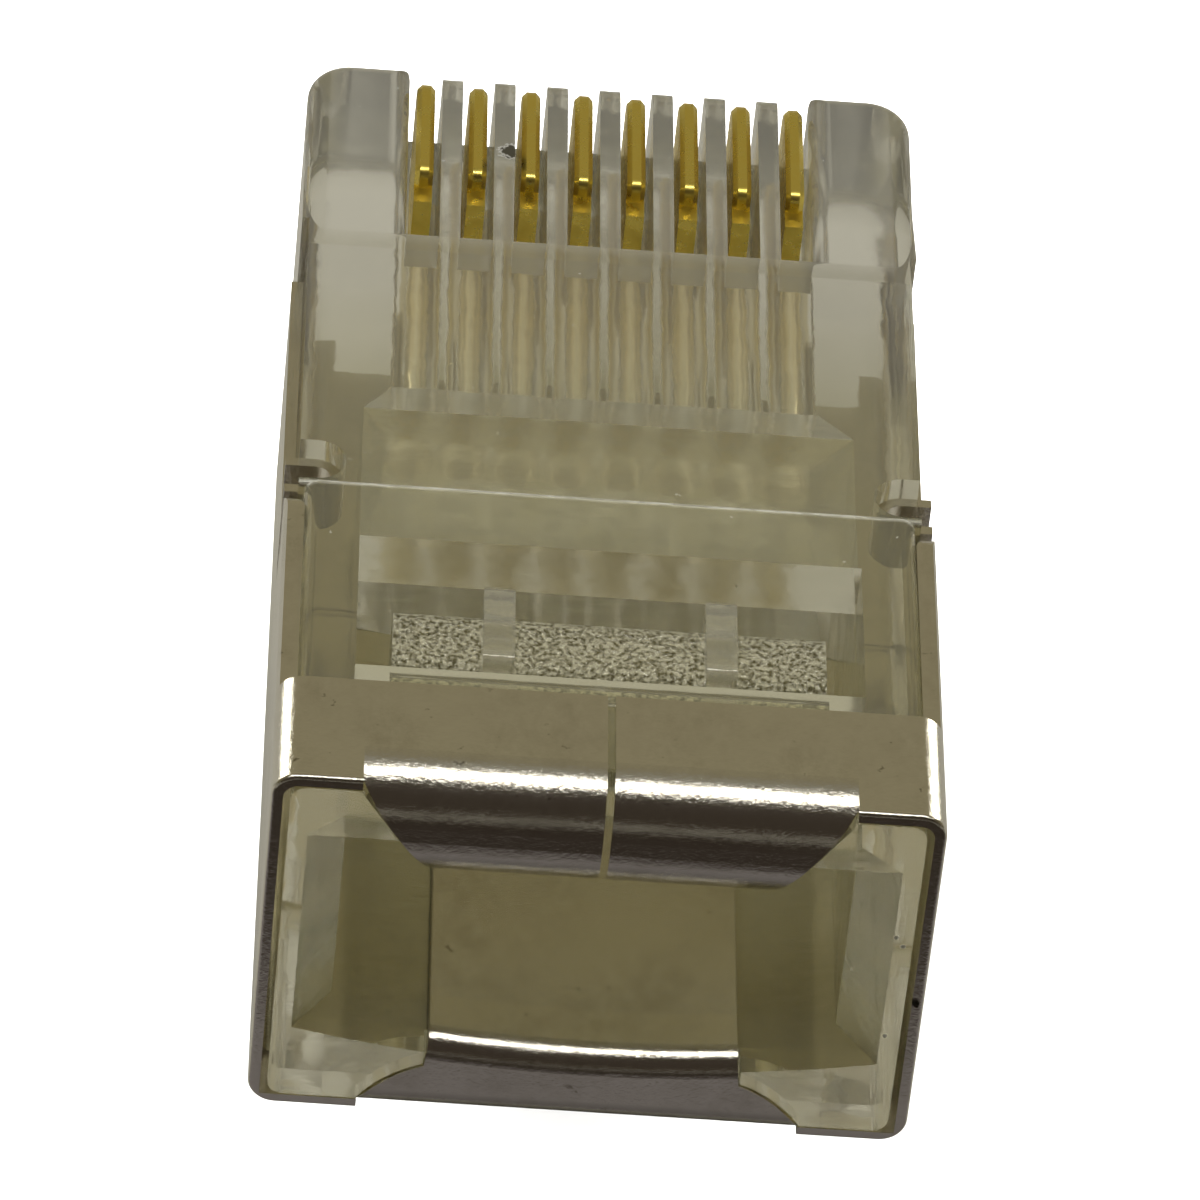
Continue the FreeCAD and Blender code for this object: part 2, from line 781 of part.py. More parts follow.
def make_contact(number):
    """One stamped blade: a rounded head, a sheared shoulder behind it, and two points at its foot."""
    body = new_body(f"contact_{number}")
    foot = f"({BLADE_TOP} - blade_height)"
    middle = f"(({BLADE_REAR} + {BLADE_LEG_FRONT}) / 2)"
    wall = f"({BLADE_REAR} + blade_shoulder)"
    blade = outline(
        new_sketch(body, f"blade_side_{number}", "YZ_Plane"),
        [
            (BLADE_REAR, f"{foot} + blade_point"),
            (f"({BLADE_REAR} + {middle}) / 2", foot),
            (middle, f"{foot} + blade_point"),
            (f"({BLADE_LEG_FRONT} + {middle}) / 2", foot),
            (BLADE_LEG_FRONT, f"{foot} + blade_point"),
            (BLADE_LEG_FRONT, f"{BLADE_TOP} - blade_head"),
            (BLADE_FRONT, f"{BLADE_TOP} - blade_head"),
            (BLADE_FRONT, f"{BLADE_TOP} - blade_front_radius", "blade_front_radius"),
            (f"{BLADE_FRONT} - blade_front_radius", BLADE_TOP),
            (f"{wall} + blade_crest_radius", BLADE_TOP, "blade_crest_radius"),
            (wall, f"{BLADE_TOP} - blade_crest_radius"),
            (wall, f"{BLADE_TOP} - blade_shoulder_drop"),
            (BLADE_REAR, f"{BLADE_TOP} - blade_shoulder_drop"),
        ],
    )
    pad = extrude(body, "Pad", f"blade_{number}", blade, "blade_thickness")
    dress_edges(
        body,
        f"blade_edges_{number}",
        pad,
        lambda p: near(abs(p.x), "blade_thickness / 2")
        and p.z > value(f"{BLADE_TOP} - blade_head") - 0.01
        and p.y > value(wall) + 0.01
        and (p.z > value(f"{BLADE_TOP} - blade_front_radius") - 0.01 or near(p.y, BLADE_FRONT)),
        "blade_edge_chamfer",
        "Chamfer",
    )
    body.setExpression(
        ".Placement.Base.x", bound(f"contact_pitch * {number - 1} + {FIRST_CONTACT}")
    )
    return body


# --- shield ---------------------------------------------------------------------------------------------


def shield_tube(body):
    """The sheet folded round the body: bottom plate, side walls and the strap over the rear's top."""
    solid = rear_form(
        body,
        "AdditiveLoft",
        "tube_outside",
        SHIELD_SIDE,
        SHIELD_TOP,
        "0",
        SHIELD_FRONT,
        "shield_corner_radius",
    )
    dress_edges(body, "rear_rim", solid, lambda p: near(p.y, "0"), "shield_rim_radius")
    return rear_form(
        body,
        "SubtractiveLoft",
        "tube_inside",
        SHIELD_INNER_SIDE,
        SHIELD_INNER_TOP,
        f"-{BEYOND}",
        f"{SHIELD_FRONT} + {BEYOND}",
        "(shield_corner_radius - sheet_thickness)",
    )


def shield_sides(body):
    """Opens the tube above the body ahead of the strap, steps the side walls down, trims the plate."""
    side_end = "(rear_length - side_setback)"
    skirt_top = f"({HALF_BODY} - skirt_drop)"
    above = outline(
        new_sketch(body, "open_top_side", "YZ_Plane"),
        [
            ("strap_length", REAR_TOP),
            (side_end, REAR_TOP),
            (side_end, skirt_top),
            (f"body_length + {BEYOND}", skirt_top),
            (f"body_length + {BEYOND}", f"{SHIELD_TOP} + {BEYOND}"),
            ("strap_length", f"{SHIELD_TOP} + {BEYOND}"),
        ],
    )
    opened = extrude(body, "Pocket", "open_top", above, f"4 * {SHIELD_SIDE}")
    dress_edges(
        body,
        "side_corners",
        opened,
        lambda p: near(p.y, side_end) and near(p.z, REAR_TOP) and abs(p.x) > 1,
        "side_corner_radius",
    )
    corner = f"({SHIELD_INNER_SIDE} - plate_corner_width)"
    plate_end = rectangle(
        new_sketch(body, "plate_end_plan", "XY_Plane", f"-{SHIELD_TOP} / 2"),
        f"-{corner}",
        corner,
        f"{SHIELD_FRONT} - plate_setback",
        f"{SHIELD_FRONT} + {BEYOND}",
    )
    return extrude(body, "Pocket", "plate_end", plate_end, BEYOND, "One side")


def shield_upper_flaps(body):
    """The two flaps that turn down over the cable mouth and curl into it, parted by the seam."""
    cut = rectangle(
        new_sketch(body, "upper_bend_relief", "XY_Plane", f"{SHIELD_TOP} + {BEYOND}"),
        "-upper_flap_width / 2",
        "upper_flap_width / 2",
        f"-{BEYOND}",
        "upper_bend_radius",
    )
    extrude(body, "Pocket", "upper_relief", cut, f"{BEYOND} + 2 * sheet_thickness", "One side")
    bend_y = f"({FLAP_FACE} + upper_bend_radius)"
    curl_y = f"({FLAP_FACE} + flap_curl_radius)"
    inner_curl = "(flap_curl_radius - sheet_thickness)"
    flap = outline(
        new_sketch(body, "upper_flap_side", "YZ_Plane"),
        [
            ("upper_bend_radius + sheet_thickness", SHIELD_TOP),
            (bend_y, SHIELD_TOP, "upper_bend_radius"),
            (FLAP_FACE, UPPER_BEND_Z),
            (FLAP_FACE, CURL_Z, "flap_curl_radius"),
            (
                f"{curl_y} - flap_curl_radius * cos(flap_curl_angle)",
                f"{CURL_Z} - flap_curl_radius * sin(flap_curl_angle)",
            ),
            (
                f"{curl_y} - {inner_curl} * cos(flap_curl_angle)",
                f"{CURL_Z} - {inner_curl} * sin(flap_curl_angle)",
                f"-{inner_curl}",
            ),
            (f"{FLAP_FACE} + sheet_thickness", CURL_Z),
            (f"{FLAP_FACE} + sheet_thickness", UPPER_BEND_Z, "-(upper_bend_radius - sheet_thickness)"),
            (bend_y, SHIELD_INNER_TOP),
            ("upper_bend_radius + sheet_thickness", SHIELD_INNER_TOP),
        ],
    )
    extrude(body, "Pad", "upper_flaps", flap, "upper_flap_width")
    trim = outline(
        new_sketch(body, "upper_flap_trim", "XZ_Plane"),
        [
            ("upper_flap_width / 2", SHIELD_INNER_TOP),
            ("upper_flap_end_width / 2", UPPER_FLAP_END),
            (f"{SHIELD_INNER_SIDE} - shield_corner_radius", UPPER_FLAP_END),
            (f"{SHIELD_INNER_SIDE} - shield_corner_radius", SHIELD_INNER_TOP),
        ],
    )
    side = extrude(body, "Pocket", "upper_flap_slant", trim, "2 * (upper_bend_radius + flap_curl_radius)")
    mirror_sides(body, "upper_flap_slants", [side])
    seam = rectangle(
        new_sketch(body, "seam_plan", "XY_Plane", f"{SHIELD_TOP} + {BEYOND}"),
        "-seam_gap / 2",
        "seam_gap / 2",
        f"-{BEYOND}",
        f"strap_length + {BEYOND}",
    )
    return extrude(body, "Pocket", "seam", seam, f"{SHIELD_TOP} + {BEYOND}", "One side")


def shield_lower_flap(body):
    """The flap that turns up behind the floor, rolls over its edge and runs in as a tongue."""
    low = f"(-{SHIELD_TOP} - sag)"
    inner_low = f"(-{SHIELD_INNER_TOP} - sag)"
    cut = rectangle(
        new_sketch(body, "lower_bend_relief", "XY_Plane", f"{low} - {BEYOND}"),
        "-lower_flap_width / 2",
        "lower_flap_width / 2",
        f"-{BEYOND}",
        "lower_bend_radius",
    )
    extrude(body, "Pocket", "lower_relief", cut, f"{BEYOND} + 2 * sheet_thickness", "One side", back=True)
    bend_y = f"({FLAP_FACE} + lower_bend_radius)"
    bend_z = f"({low} + lower_bend_radius)"
    tongue_top = f"({TONGUE_LOW} + sheet_thickness)"
    lip_y = f"({FLAP_FACE} + lip_radius)"
    inner_face = f"({FLAP_FACE} + sheet_thickness)"
    riser = outline(
        new_sketch(body, "lower_flap_side", "YZ_Plane"),
        [
            ("lower_bend_radius + sheet_thickness", low),
            ("lower_bend_radius + sheet_thickness", inner_low),
            (bend_y, inner_low, "-(lower_bend_radius - sheet_thickness)"),
            (inner_face, bend_z),
            (inner_face, LIP_Z),
            (FLAP_FACE, LIP_Z),
            (FLAP_FACE, bend_z, "lower_bend_radius"),
            (bend_y, low),
        ],
    )
    extrude(body, "Pad", "lower_flap", riser, "lower_flap_width")
    trim = outline(
        new_sketch(body, "lower_flap_trim", "XZ_Plane"),
        [
            ("lower_flap_width / 2", inner_low),
            (SHIELD_INNER_SIDE, inner_low),
            (SHIELD_INNER_SIDE, "0"),
            ("lower_flap_end_width / 2", "0"),
            ("lower_flap_end_width / 2", LIP_Z, "-lower_flap_side_radius"),
        ],
    )
    side = extrude(body, "Pocket", "lower_flap_slant", trim, "4 * lower_bend_radius")
    mirror_sides(body, "lower_flap_slants", [side])
    tongue = new_sketch(body, "tongue_side", "YZ_Plane")
    outline(
        tongue,
        [
            (FLAP_FACE, f"{LIP_Z} - lip_rise * 2"),
            (inner_face, f"{LIP_Z} - lip_rise * 2"),
            (inner_face, LIP_Z, "-(lip_radius - sheet_thickness)"),
            (lip_y, f"{LIP_TOP} - sheet_thickness"),
            (f"{lip_y} + lip_run", TONGUE_LOW),
            ("tongue_length", TONGUE_LOW),
            ("tongue_length", tongue_top),
            (f"{lip_y} + lip_run", tongue_top),
            (lip_y, LIP_TOP, "lip_radius"),
            (FLAP_FACE, LIP_Z),
        ],
    )
    axis_level = f"({FLOOR} + floor_radius)"
    line = tongue.addGeometry(
        Part.LineSegment(
            FreeCAD.Vector(0, value(axis_level), 0), FreeCAD.Vector(1, value(axis_level), 0)
        ),
        True,
    )
    for point in (1, 2):
        tie(tongue, "DistanceY", line, point, axis_level)
    tie(tongue, "DistanceX", line, 1, "0")
    tie(tongue, "DistanceX", line, 2, "lip_run")
    made = body.newObject("PartDesign::Revolution", "tongue")
    made.Profile = tongue
    made.ReferenceAxis = (tongue, ["Axis0"])
    made.Midplane = True
    made.setExpression("Angle", bound("2 * asin(lower_flap_end_width / 2 / floor_radius)"))
    doc.recompute()
    return made


def shield_ears(body):
    """A rolled ear on each side wall that keys the shield into the body's notch."""
    inner = "(ear_radius - sheet_thickness)"
    outer = SHIELD_SIDE
    roll = outline(
        new_sketch(body, "ear_plan", "XY_Plane", EAR_FOOT),
        [
            (outer, f"{EAR_Y} - ear_radius"),
            (outer, f"{EAR_Y} - {inner}"),
            (EAR_CENTRE, f"{EAR_Y} - {inner}", f"-{inner}"),
            (f"{EAR_CENTRE} - {inner}", EAR_Y, f"-{inner}"),
            (EAR_CENTRE, f"{EAR_Y} + {inner}"),
            (outer, f"{EAR_Y} + {inner}"),
            (outer, f"{EAR_Y} + ear_radius"),
            (EAR_CENTRE, f"{EAR_Y} + ear_radius", "ear_radius"),
            (f"{EAR_CENTRE} - ear_radius", EAR_Y, "ear_radius"),
            (EAR_CENTRE, f"{EAR_Y} - ear_radius"),
        ],
    )
    ear = extrude(body, "Pad", "ear", roll, "ear_height", "One side")
    gap = rectangle(
        new_sketch(body, "ear_mouth_plan", "XY_Plane", EAR_FOOT),
        EAR_CENTRE,
        f"2 * {SHIELD_SIDE}",
        f"{EAR_Y} - {inner}",
        f"{EAR_Y} + {inner}",
    )
    mouth = extrude(body, "Pocket", "ear_mouth", gap, "ear_height", "One side", back=True)
    return mirror_sides(body, "ears", [ear, mouth])


def make_shield():
    body = new_body("shield")
    shield_tube(body)
    shield_sides(body)
    shield_upper_flaps(body)
    shield_lower_flap(body)
    shield_ears(body)
    return body


# --- build and export -----------------------------------------------------------------------------------


def check_and_export(bodies):
    """Stops on any failed feature or bad solid, and writes one STEP file for each piece."""
    doc.recompute()
    failed = [o.Name for o in doc.Objects if "Invalid" in o.State or "Error" in o.State]
    if failed:
        raise RuntimeError(f"features that failed: {failed}")
    os.makedirs("parts", exist_ok=True)
    for body in bodies:
        shape = body.Shape
        if shape.isNull() or not shape.isValid() or len(shape.Solids) != 1:
            raise RuntimeError(f"{body.Label} isn't one valid solid")
        shape.exportStep(f"parts/{body.Label}.step")
        print(f"{body.Label}: volume {shape.Volume:.3f} mm3")


pieces = [make_housing(), make_bar(), make_latch(), make_shield()]
pieces += [make_contact(number) for number in range(1, CONTACT_COUNT + 1)]
check_and_export(pieces)
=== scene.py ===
"""The looks of a shielded, uncrimped 8P8C modular plug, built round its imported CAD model.

The plug lies along +Y with its contacts up, seen from behind and above. Sizes here are in metres unless a
name says millimetres.
"""

import math

import bpy
from mathutils import Matrix, Vector


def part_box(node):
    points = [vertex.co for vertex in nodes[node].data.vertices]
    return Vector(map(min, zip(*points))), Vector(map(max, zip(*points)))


MM = 0.001

# The camera's direction in degrees, the point it looks at, its distance from there, and its lens in
# millimetres.
AZIMUTH, ELEVATION, ROLL = -3.82, 38.81, 6.21
TARGET = Vector((0.00013, 0.0107, -0.00061))
DISTANCE = 0.1719
LENS = 276.2

# Level of the floor below the latch, and how far it spreads.
FLOOR_GAP = 0.00002
FLOOR_HALF = 0.6

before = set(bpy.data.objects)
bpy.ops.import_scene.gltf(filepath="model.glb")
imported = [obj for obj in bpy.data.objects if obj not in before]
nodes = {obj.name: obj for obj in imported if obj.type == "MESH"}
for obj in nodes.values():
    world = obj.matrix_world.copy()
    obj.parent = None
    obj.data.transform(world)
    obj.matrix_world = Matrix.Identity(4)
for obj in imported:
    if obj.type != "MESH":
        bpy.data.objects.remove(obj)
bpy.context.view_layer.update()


# --- node helpers ---------------------------------------------------------------------------------------


class Tree:
    """A material's or the world's node tree, with short calls for the nodes that are used here."""

    def __init__(self, owner):
        owner.use_nodes = True
        self.tree = owner.node_tree
        self.tree.nodes.clear()

    def node(self, kind, settings=None, **inputs):
        """Adds a node; each keyword feeds the input of that name, with _ for a blank."""
        made = self.tree.nodes.new(kind)
        for name, setting in (settings or {}).items():
            setattr(made, name, setting)
        for name, given in inputs.items():
            self.feed(made.inputs[name.replace("_", " ")], given)
        return made

    def feed(self, socket, given):
        if isinstance(given, bpy.types.NodeSocket):
            self.tree.links.new(given, socket)
        else:
            socket.default_value = given

    def place(self, stretch=(1, 1, 1)):
        """Coordinates on the piece in millimetres, stretched along its axes."""
        found = self.node("ShaderNodeTexCoord")
        scaled = self.node("ShaderNodeVectorMath", {"operation": "MULTIPLY"})
        self.feed(scaled.inputs[0], found.outputs["Object"])
        self.feed(scaled.inputs[1], tuple(1000 * s for s in stretch))
        return scaled.outputs[0]

    def noise(self, scale, detail=3.0, roughness=0.5, stretch=(1, 1, 1)):
        """Noise with scale features to the millimetre."""
        made = self.node(
            "ShaderNodeTexNoise",
            Vector=self.place(stretch),
            Scale=scale,
            Detail=detail,
            Roughness=roughness,
        )
        return made.outputs["Fac"]

    def cells(self, scale):
        """Small cells, scale of them to the millimetre: the distance from each one's middle."""
        made = self.node("ShaderNodeTexVoronoi", Vector=self.place(), Scale=scale)
        return made.outputs["Distance"]

    def spread(self, factor, low, high, to_low=0.0, to_high=1.0):
        """Maps factor from low..high onto to_low..to_high, clamped."""
        made = self.node("ShaderNodeMapRange")
        for name, given in zip(
            ("Value", "From Min", "From Max", "To Min", "To Max"), (factor, low, high, to_low, to_high)
        ):
            self.feed(made.inputs[name], given)
        return made.outputs[0]

    def maths(self, operation, first, second=0.0):
        made = self.node("ShaderNodeMath", {"operation": operation})
        self.feed(made.inputs[0], first)
        self.feed(made.inputs[1], second)
        return made.outputs[0]

    def product(self, first, *others):
        for other in others:
            first = self.maths("MULTIPLY", first, other)
        return first

    def blend_colours(self, factor, first, second):
        made = self.node("ShaderNodeMix", {"data_type": "RGBA"})
        self.feed(made.inputs[0], factor)
        self.feed(made.inputs[6], first)
        self.feed(made.inputs[7], second)
        return made.outputs[2]

    def bump(self, height, strength, depth_mm, normal=None):
        made = self.node("ShaderNodeBump", Height=height, Strength=strength, Distance=depth_mm * MM)
        if normal is not None:
            self.feed(made.inputs["Normal"], normal)
        return made.outputs[0]

    def axes(self):
        """The place on the piece in millimetres, one number for each axis."""
        split = self.node("ShaderNodeSeparateXYZ")
        self.feed(split.inputs[0], self.place())
        return split.outputs

    def within(self, along, middle, half, soft):
        """1 where along is less than half away from middle, fading to 0 over soft."""
        away = self.maths("ABSOLUTE", self.maths("SUBTRACT", along, middle))
        return self.spread(away, half + soft, half)

    def spots(self, places):
        """1 in small ragged spots at the places given as (x, y, z, radius) in millimetres."""
        found = 0.0
        ragged = self.noise(9.0, 2.0)
        for *centre, radius in places:
            apart = self.node("ShaderNodeVectorMath", {"operation": "DISTANCE"})
            self.feed(apart.inputs[0], self.place())
            self.feed(apart.inputs[1], tuple(centre))
            rag = 0.3 * radius
            edge = self.maths("ADD", apart.outputs["Value"], self.spread(ragged, 0.3, 0.7, -rag, rag))
            found = self.maths("MAXIMUM", found, self.spread(edge, radius, radius - rag))
        return found

    def finish(self, surface):
        out = self.node("ShaderNodeOutputMaterial")
        self.feed(out.inputs["Surface"], surface)


def colour(red, green, blue):
    return (red, green, blue, 1.0)


def lets_light_through(tree, glass, tint):
    """Glass whose shadow is a faint tint, so that lamps light what lies under and inside it."""
    through = tree.node("ShaderNodeBsdfTransparent", Color=tint)
    path = tree.node("ShaderNodeLightPath")
    mixed = tree.node("ShaderNodeMixShader")
    tree.feed(mixed.inputs[0], path.outputs["Is Shadow Ray"])
    tree.feed(mixed.inputs[1], glass)
    tree.feed(mixed.inputs[2], through.outputs[0])
    return mixed.outputs[0]


# --- materials ------------------------------------------------------------------------------------------


# Places on the part that the materials follow, in millimetres.
STEP_AT = 8.70
CORED_HALF_WIDTH = 5.38
CORED_MIDDLE, CORED_HALF_HEIGHT = 0.1, 3.08
CORED_CENTRE, CORED_HALF_LENGTH = 11.0, 10.8
NOSE_BEGINS, NOSE_RAMP_END = 12.0, 15.0
BORE_LEVEL, BORE_HALF_HEIGHT = -0.45, 0.44
TONGUE_HALF_WIDTH = 2.80
RIB_AT, RIB_HALF_WIDTH = 2.0, 0.27

# Small dark specks as (x, y, z, radius), in millimetres.
PLASTIC_SPECKS = (
    (-1.90, 19.47, 3.18, 0.26),
    (5.43, 0.0, 0.6, 0.05),
    (5.29, 0.0, 0.8, 0.05),
    (5.32, 0.0, -1.53, 0.05),
)
METAL_SPECKS = ((5.78, 0.0, -0.7, 0.11), (5.66, 0.0, 0.94, 0.06), (0.02, 2.19, -2.75, 0.06))

POLYCARBONATE_IOR = 1.585


def clear_polycarbonate():
    """Moulded clear plastic: an olive tint, slight waves, fine scuffs, and a haze on the cored inside."""
    made = bpy.data.materials.new("clear_polycarbonate")
    tree = Tree(made)
    x, y, z = tree.axes()
    inside = tree.product(
        tree.within(x, 0.0, CORED_HALF_WIDTH, 0.06),
        tree.within(z, CORED_MIDDLE, CORED_HALF_HEIGHT, 0.08),
        tree.within(y, CORED_CENTRE, CORED_HALF_LENGTH, 0.1),
    )
    waves = tree.noise(0.9, 2.0)
    grain = tree.noise(14.0, 4.0, 0.6)
    scuffs = tree.noise(5.0, 6.0, 0.7, stretch=(0.25, 2.2, 1.0))
    tint = tree.blend_colours(waves, colour(0.87, 0.85, 0.70), colour(0.79, 0.765, 0.58))
    # Painted light: the tint grows paler over the nose, standing in for the brighter light that reaches it
    # past the shield's end.
    tint = tree.blend_colours(tree.spread(y, NOSE_BEGINS, NOSE_RAMP_END), tint, colour(0.85, 0.84, 0.77))
    # A gold tint in the wire bores stands in for the blades mirrored there.
    bores = tree.product(
        tree.within(z, BORE_LEVEL, BORE_HALF_HEIGHT, 0.05),
        tree.spread(y, 13.2, 16.0),
        tree.within(tree.maths("ABSOLUTE", x), 2.03, 2.0, 0.05),
    )
    tint = tree.blend_colours(bores, tint, colour(0.80, 0.68, 0.36))
    # The upper edge of the step behind the nose is scuffed, and painted paler and hazier there as a highlight
    # along the edge.
    step_scuffs_and_highlight = tree.product(
        tree.within(y, STEP_AT, 0.05, 0.06),
        tree.spread(z, 3.22, 3.27),
        tree.spread(scuffs, 0.4, 0.6, 0.4, 1.0),
    )
    tint = tree.blend_colours(step_scuffs_and_highlight, tint, colour(0.80, 0.79, 0.70))
    dirt = tree.spots(PLASTIC_SPECKS)
    dust = tree.spread(tree.noise(3.7, 2.0, 0.8), 0.745, 0.77)
    dirt = tree.maths("MAXIMUM", dirt, tree.product(dust, 0.6))
    tint = tree.blend_colours(dirt, tint, colour(0.03, 0.028, 0.02))
    low = tree.product(inside, tree.spread(z, 2.1, 1.6))
    normal = tree.bump(waves, tree.spread(low, 0, 1, 0.25, 0.6), 0.06)
    normal = tree.bump(grain, tree.spread(inside, 0, 1, 0.10, 0.22), 0.004, normal)
    glass = tree.node("ShaderNodeBsdfPrincipled", Base_Color=tint, Normal=normal)
    worn = tree.spread(scuffs, 0.45, 0.75, 0.03, 0.14)
    cored = tree.product(inside, tree.spread(y, 9.0, 13.0, 0.05, 0.09))
    tree.feed(glass.inputs["Roughness"], tree.maths("ADD", worn, cored))
    front = tree.product(inside, tree.spread(y, 12.5, NOSE_RAMP_END, 0.0, 0.05))
    clear = tree.maths("SUBTRACT", 0.96, tree.product(step_scuffs_and_highlight, 0.35))
    clear = tree.maths("SUBTRACT", clear, front)
    clear = tree.maths("SUBTRACT", clear, tree.product(dirt, 0.95))
    tree.feed(glass.inputs["Transmission Weight"], clear)
    glass.inputs["IOR"].default_value = POLYCARBONATE_IOR
    tree.finish(lets_light_through(tree, glass.outputs[0], colour(0.86, 0.85, 0.78)))
    return made


def frosted_polycarbonate():
    """The same plastic where the mould left it coarse and sparkling, with two smooth ribs."""
    made = bpy.data.materials.new("frosted_polycarbonate")
    tree = Tree(made)
    x, _, _ = tree.axes()
    rib = tree.within(tree.maths("ABSOLUTE", x), RIB_AT, RIB_HALF_WIDTH, 0.04)
    coarse = tree.spread(rib, 0, 1, 1.0, 0.08)
    pits = tree.cells(9.0)
    grain = tree.noise(12.0, 3.0, 0.6)
    flecks = tree.spread(grain, 0.42, 0.60)
    tint = tree.blend_colours(flecks, colour(0.82, 0.79, 0.60), colour(0.12, 0.105, 0.05))
    tint = tree.blend_colours(rib, tint, colour(0.90, 0.89, 0.80))
    normal = tree.bump(grain, coarse, 0.06)
    normal = tree.bump(pits, coarse, 0.07, normal)
    glass = tree.node("ShaderNodeBsdfPrincipled", Base_Color=tint, Normal=normal)
    tree.feed(glass.inputs["Roughness"], tree.spread(grain, 0.3, 0.7, 0.04, 0.15))
    tree.feed(glass.inputs["Transmission Weight"], tree.spread(rib, 0, 1, 0.72, 0.95))
    glass.inputs["IOR"].default_value = POLYCARBONATE_IOR
    tree.finish(lets_light_through(tree, glass.outputs[0], colour(0.7, 0.69, 0.62)))
    return made


def nickel():
    """Nickel plate on rolled sheet: smudges, rolling lines, a grain that the bends show, painted shade by the
    tongue's edges.
    """
    made = bpy.data.materials.new("nickel_plated_sheet")
    tree = Tree(made)
    smudges = tree.noise(0.55, 4.0, 0.6)
    rolled = tree.noise(2.0, 5.0, 0.6, stretch=(6.0, 0.35, 6.0))
    grain = tree.noise(9.0, 4.0, 0.7)
    mottled = tree.spread(tree.noise(3.2, 4.0, 0.65, stretch=(1.0, 0.5, 1.0)), 0.3, 0.7)
    shade = tree.product(tree.spread(smudges, 0.35, 0.65), mottled)
    plate = tree.blend_colours(shade, colour(0.75, 0.72, 0.65), colour(0.62, 0.585, 0.51))
    spots = tree.spread(tree.noise(2.6, 3.0, 0.7), 0.68, 0.74)
    plate = tree.blend_colours(spots, plate, colour(0.40, 0.37, 0.31))
    x, y, z = tree.axes()
    # Painted shade: a near-black line along each side edge of the tongue.
    tongue_edge_shade = tree.product(
        tree.within(tree.maths("ABSOLUTE", x), TONGUE_HALF_WIDTH, 0.035, 0.02),
        tree.spread(y, 0.6, 1.0),
        tree.spread(z, -2.3, -2.6),
    )
    dark = tree.maths("MAXIMUM", tongue_edge_shade, tree.spots(METAL_SPECKS))
    plate = tree.blend_colours(dark, plate, colour(0.05, 0.045, 0.03))
    normal = tree.bump(rolled, 0.10, 0.02)
    normal = tree.bump(grain, 0.6, 0.018, normal)
    metal = tree.node("ShaderNodeBsdfPrincipled", Base_Color=plate, Normal=normal)
    metal.inputs["Metallic"].default_value = 1.0
    tree.feed(metal.inputs["Roughness"], tree.spread(smudges, 0.3, 0.7, 0.11, 0.22))
    tree.finish(metal.outputs[0])
    return made


def gold():
    """Thin gold over a stamped blade, with the drag lines of the die."""
    made = bpy.data.materials.new("gold_plated_contact")
    tree = Tree(made)
    worn = tree.noise(3.0, 4.0, 0.6)
    drawn = tree.noise(3.0, 4.0, 0.6, stretch=(4.0, 1.0, 6.0))
    plate = tree.blend_colours(worn, colour(1.0, 0.84, 0.24), colour(0.88, 0.66, 0.12))
    normal = tree.bump(drawn, 0.12, 0.02)
    metal = tree.node("ShaderNodeBsdfPrincipled", Base_Color=plate, Normal=normal)
    metal.inputs["Metallic"].default_value = 1.0
    tree.feed(metal.inputs["Roughness"], tree.spread(worn, 0.3, 0.7, 0.22, 0.38))
    tree.finish(metal.outputs[0])
    return made


def floor_material():
    """Matt off-white paint with the faintest clouds."""
    made = bpy.data.materials.new("pale_floor")
    tree = Tree(made)
    cloud = tree.noise(0.02, 3.0)
    paint = tree.blend_colours(cloud, colour(0.90, 0.90, 0.895), colour(0.88, 0.88, 0.872))
    matt = tree.node("ShaderNodeBsdfPrincipled", Base_Color=paint)
    matt.inputs["Roughness"].default_value = 0.7
    matt.inputs["Specular IOR Level"].default_value = 0.2
    tree.finish(matt.outputs[0])
    return made


def dress(node, material):
    """Gives a CAD node's whole surface one material."""
    node.data.materials.clear()
    node.data.materials.append(material)


contacts = [nodes[f"contact_{number}"] for number in range(1, 9)]
plastic = clear_polycarbonate()
gilt = gold()
dress(nodes["housing"], plastic)
dress(nodes["latch"], plastic)
dress(nodes["strain_relief_bar"], frosted_polycarbonate())
dress(nodes["shield"], nickel())
for contact in contacts:
    dress(contact, gilt)


# --- floor, light and camera ----------------------------------------------------------------------------


def plane(name, half_x, half_y, centre, material):
    """A level rectangle that belongs to the stage."""
    mesh = bpy.data.meshes.new(name)
    corners = [(-half_x, -half_y, 0), (half_x, -half_y, 0), (half_x, half_y, 0), (-half_x, half_y, 0)]
    mesh.from_pydata(corners, [], [(0, 1, 2, 3)])
    mesh.materials.append(material)
    made = bpy.data.objects.new(name, mesh)
    made.location = centre
    bpy.context.scene.collection.objects.link(made)
    return made


floor_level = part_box("latch")[0].z - FLOOR_GAP
floor = plane("floor", FLOOR_HALF, FLOOR_HALF, (0, 0, floor_level), floor_material())


def card(name, shade, half_x, half_y, middle_y, lift, through_plastic=True):
    """A matt card on the floor that only shows mirrored or through plastic, as a photographer sets one:
    painted shade, darker than the floor.
    """
    made = bpy.data.materials.new(name)
    tree = Tree(made)
    weave = tree.noise(1.0, 2.0)
    darker = colour(*(0.95 * c for c in shade))
    paler = colour(*(1.05 * c for c in shade))
    matt = tree.node("ShaderNodeBsdfPrincipled", Base_Color=tree.blend_colours(weave, darker, paler))
    matt.inputs["Roughness"].default_value = 1.0
    matt.inputs["Specular IOR Level"].default_value = 0.0
    tree.finish(matt.outputs[0])
    piece = plane(name, half_x, half_y, (0, middle_y, floor_level + lift), made)
    piece.visible_camera = False
    piece.visible_diffuse = False
    piece.visible_shadow = False
    piece.visible_transmission = through_plastic


